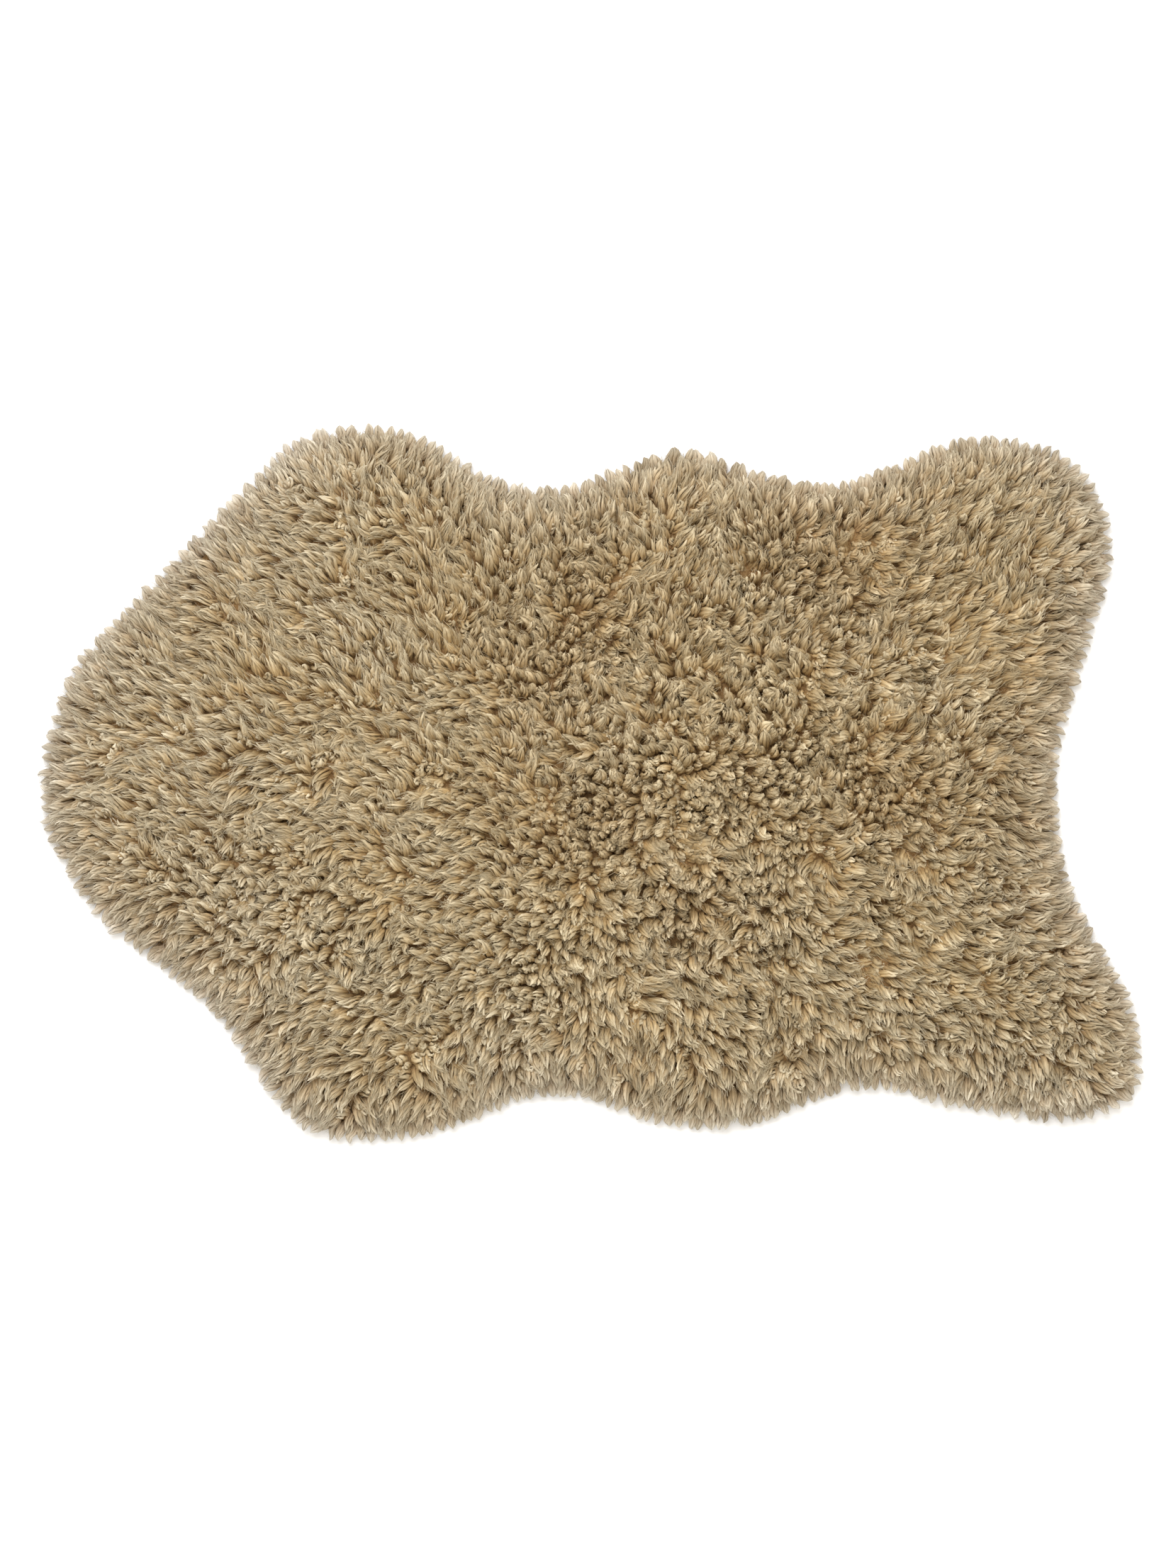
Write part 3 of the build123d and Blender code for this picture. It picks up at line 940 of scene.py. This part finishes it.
UNDERCOAT_PITCH = 7.0
UNDERCOAT_JITTER = 1.2
UNDERCOAT_INSET = 1.5
UNDERCOAT_HEIGHT = 11.0
UNDERCOAT_EDGE = 4.0  # its height at the edge
UNDERCOAT_REACH = 45.0  # this far inside the cloth's edge it has its full height
UNDERCOAT_LEAST = 1.0
UNDERCOAT_CLEAR = UNDERCOAT_PITCH * 0.6  # between its rim and its inner points
TAPE_CLEARANCE = 0.5
BIG_LUMPS, SMALL_LUMPS = 1.6, 0.9


def make_undercoat():
    """A closed, lumpy bed of felted wool between the roots of the tufts."""
    rim, heading = resample(edge_loop, UNDERCOAT_PITCH)
    rim = rim - outward_of(heading) * UNDERCOAT_INSET
    inner = hexagonal(pile_low, pile_high, UNDERCOAT_PITCH, UNDERCOAT_JITTER)
    inner = inner[depth.at(inner) > UNDERCOAT_INSET + UNDERCOAT_CLEAR]
    flat = [Vector(p) for p in np.concatenate([rim, inner])]
    loop = [(i, (i + 1) % len(rim)) for i in range(len(rim))]
    region = [list(range(len(rim)))]
    keep_inside, merge_distance = 1, 1e-4
    points, _, faces, _, _, _ = delaunay_2d_cdt(flat, loop, region, keep_inside, merge_distance)
    flat = np.array([tuple(p) for p in points])
    faces = np.array(faces)
    inside = np.clip(depth.at(flat) / UNDERCOAT_REACH, 0, 1)
    lumps = waves(flat, longest=22, shortest=9, count=14, seed=5) * BIG_LUMPS
    lumps = lumps + waves(flat, longest=9, shortest=5, count=9, seed=6) * SMALL_LUMPS
    middle = (UNDERCOAT_HEIGHT - UNDERCOAT_EDGE) * smooth_step(inside)
    top = cloth_top + UNDERCOAT_EDGE + middle + lumps
    on_tape = depth.at(flat) < TAPE_WIDTH + TAPE_CLEARANCE
    low = np.where(on_tape, tape_top, cloth_top)
    top = np.maximum(top, low + UNDERCOAT_LEAST)
    vertices = np.concatenate([np.column_stack([flat, top]), np.column_stack([flat, low])])
    sides = dict.fromkeys((a, b) for face in faces for a, b in zip(face, np.roll(face, -1)))
    walls = [(b, a, a + len(flat), b + len(flat)) for a, b in sides if (b, a) not in sides]
    everything = [tuple(f) for f in faces] + [tuple(f[::-1] + len(flat)) for f in faces] + walls
    mesh = bpy.data.meshes.new("wool_undercoat")
    mesh.from_pydata((vertices * MM).tolist(), [], [[int(v) for v in f] for f in everything])
    mesh.polygons.foreach_set("use_smooth", np.ones(len(mesh.polygons), bool))
    obj = bpy.data.objects.new("wool_undercoat", mesh)
    bpy.context.scene.collection.objects.link(obj)
    return obj


dress(make_undercoat(), felted_wool_material(), *PILE_NODES)

# ---------------------------------------------------------------- floor, light, camera

FLOOR_SIZE = 8.0
CAMERA_LENS = 100.0
SENSOR = 36.0
FRAME_SHARE = 0.937  # of the picture's width that the rug fills
CAMERA_SHIFT = (-3.5, -1.5)
LIGHT_COLOUR = (0.97, 1.0, 1.08)
WORLD_COLOUR = (1.0, 0.965, 0.9, 1)


def make_floor():
    """A plain pale floor."""
    mesh = bpy.data.meshes.new("floor")
    half = FLOOR_SIZE / 2
    corners = [(-half, -half, 0), (half, -half, 0), (half, half, 0), (-half, half, 0)]
    mesh.from_pydata(corners, [], [(0, 1, 2, 3)])
    obj = bpy.data.objects.new("floor", mesh)
    bpy.context.scene.collection.objects.link(obj)
    material, _, shader = new_material("pale_floor", roughness=0.9)
    shader.inputs["Base Color"].default_value = (0.93, 0.93, 0.93, 1)
    mesh.materials.append(material)


def make_light(name, place, size, power):
    """A round light that points at the middle of the rug."""
    light = bpy.data.lights.new(name, "AREA")
    light.shape = "DISK"
    light.size = size
    light.energy = power
    light.color = LIGHT_COLOUR
    obj = bpy.data.objects.new(name, light)
    bpy.context.scene.collection.objects.link(obj)
    obj.location = place
    obj.rotation_euler = (-obj.location).to_track_quat("-Z", "Y").to_euler()


def make_world(strength):
    """Even light from all round."""
    world = bpy.data.worlds.new("studio")
    bpy.context.scene.world = world
    world.use_nodes = True
    background = world.node_tree.nodes["Background"]
    background.inputs["Color"].default_value = WORLD_COLOUR
    background.inputs["Strength"].default_value = strength


def make_camera():
    """A camera straight above, as far away as makes the rug fill its share of the width."""
    camera = bpy.data.cameras.new("camera")
    camera.lens = CAMERA_LENS
    camera.sensor_fit = "HORIZONTAL"
    camera.sensor_width = SENSOR
    camera.clip_end = 50.0
    obj = bpy.data.objects.new("camera", camera)
    bpy.context.scene.collection.objects.link(obj)
    wide = (pile_high[0] - pile_low[0]) * MM / FRAME_SHARE
    obj.location = (CAMERA_SHIFT[0] * MM, CAMERA_SHIFT[1] * MM, wide * CAMERA_LENS / SENSOR)
    bpy.context.scene.camera = obj


make_floor()
make_light("key_light", (-0.4, 1.2, 2.4), size=1.6, power=44.0)
make_world(strength=1.13)
make_camera()
bpy.context.scene.view_settings.view_transform = "Standard"

# ---------------------------------------------------------------- the underside

canvas = woven_material("canvas_weave", srgb(214, 200, 170), srgb(150, 133, 104), 0.0011)
cloth = woven_material("cloth_weave", srgb(222, 214, 196), srgb(172, 160, 138), 0.0008)
tape = woven_material("tape_weave", srgb(184, 164, 130), srgb(128, 108, 78), 0.0007)
label = woven_material("label_weave", srgb(238, 236, 228), srgb(208, 204, 194), 0.0003, roughness=0.6)
thread = woven_material("thread_twist", srgb(170, 148, 112), srgb(110, 90, 62), 0.0004)
give(CANVAS_NODE, canvas)
give(CLOTH_NODE, cloth)
give(TAPE_NODE, tape)
give(LABEL_NODE, label)
give(LATEX_NODE, latex_material())
for node in STITCH_NODES:
    give(node, thread)

# ---------------------------------------------------------------- the sheets of cloth


def plan_area(loop):
    """The area inside a closed loop."""
    following = np.roll(loop, -1, axis=0)
    return abs((loop[:, 0] * following[:, 1] - following[:, 0] * loop[:, 1]).sum()) / 2


plan_area(plan_loop(CLOTH_NODE)) * MM ** 2
plan_area(plan_loop(CANVAS_NODE)) * MM ** 2
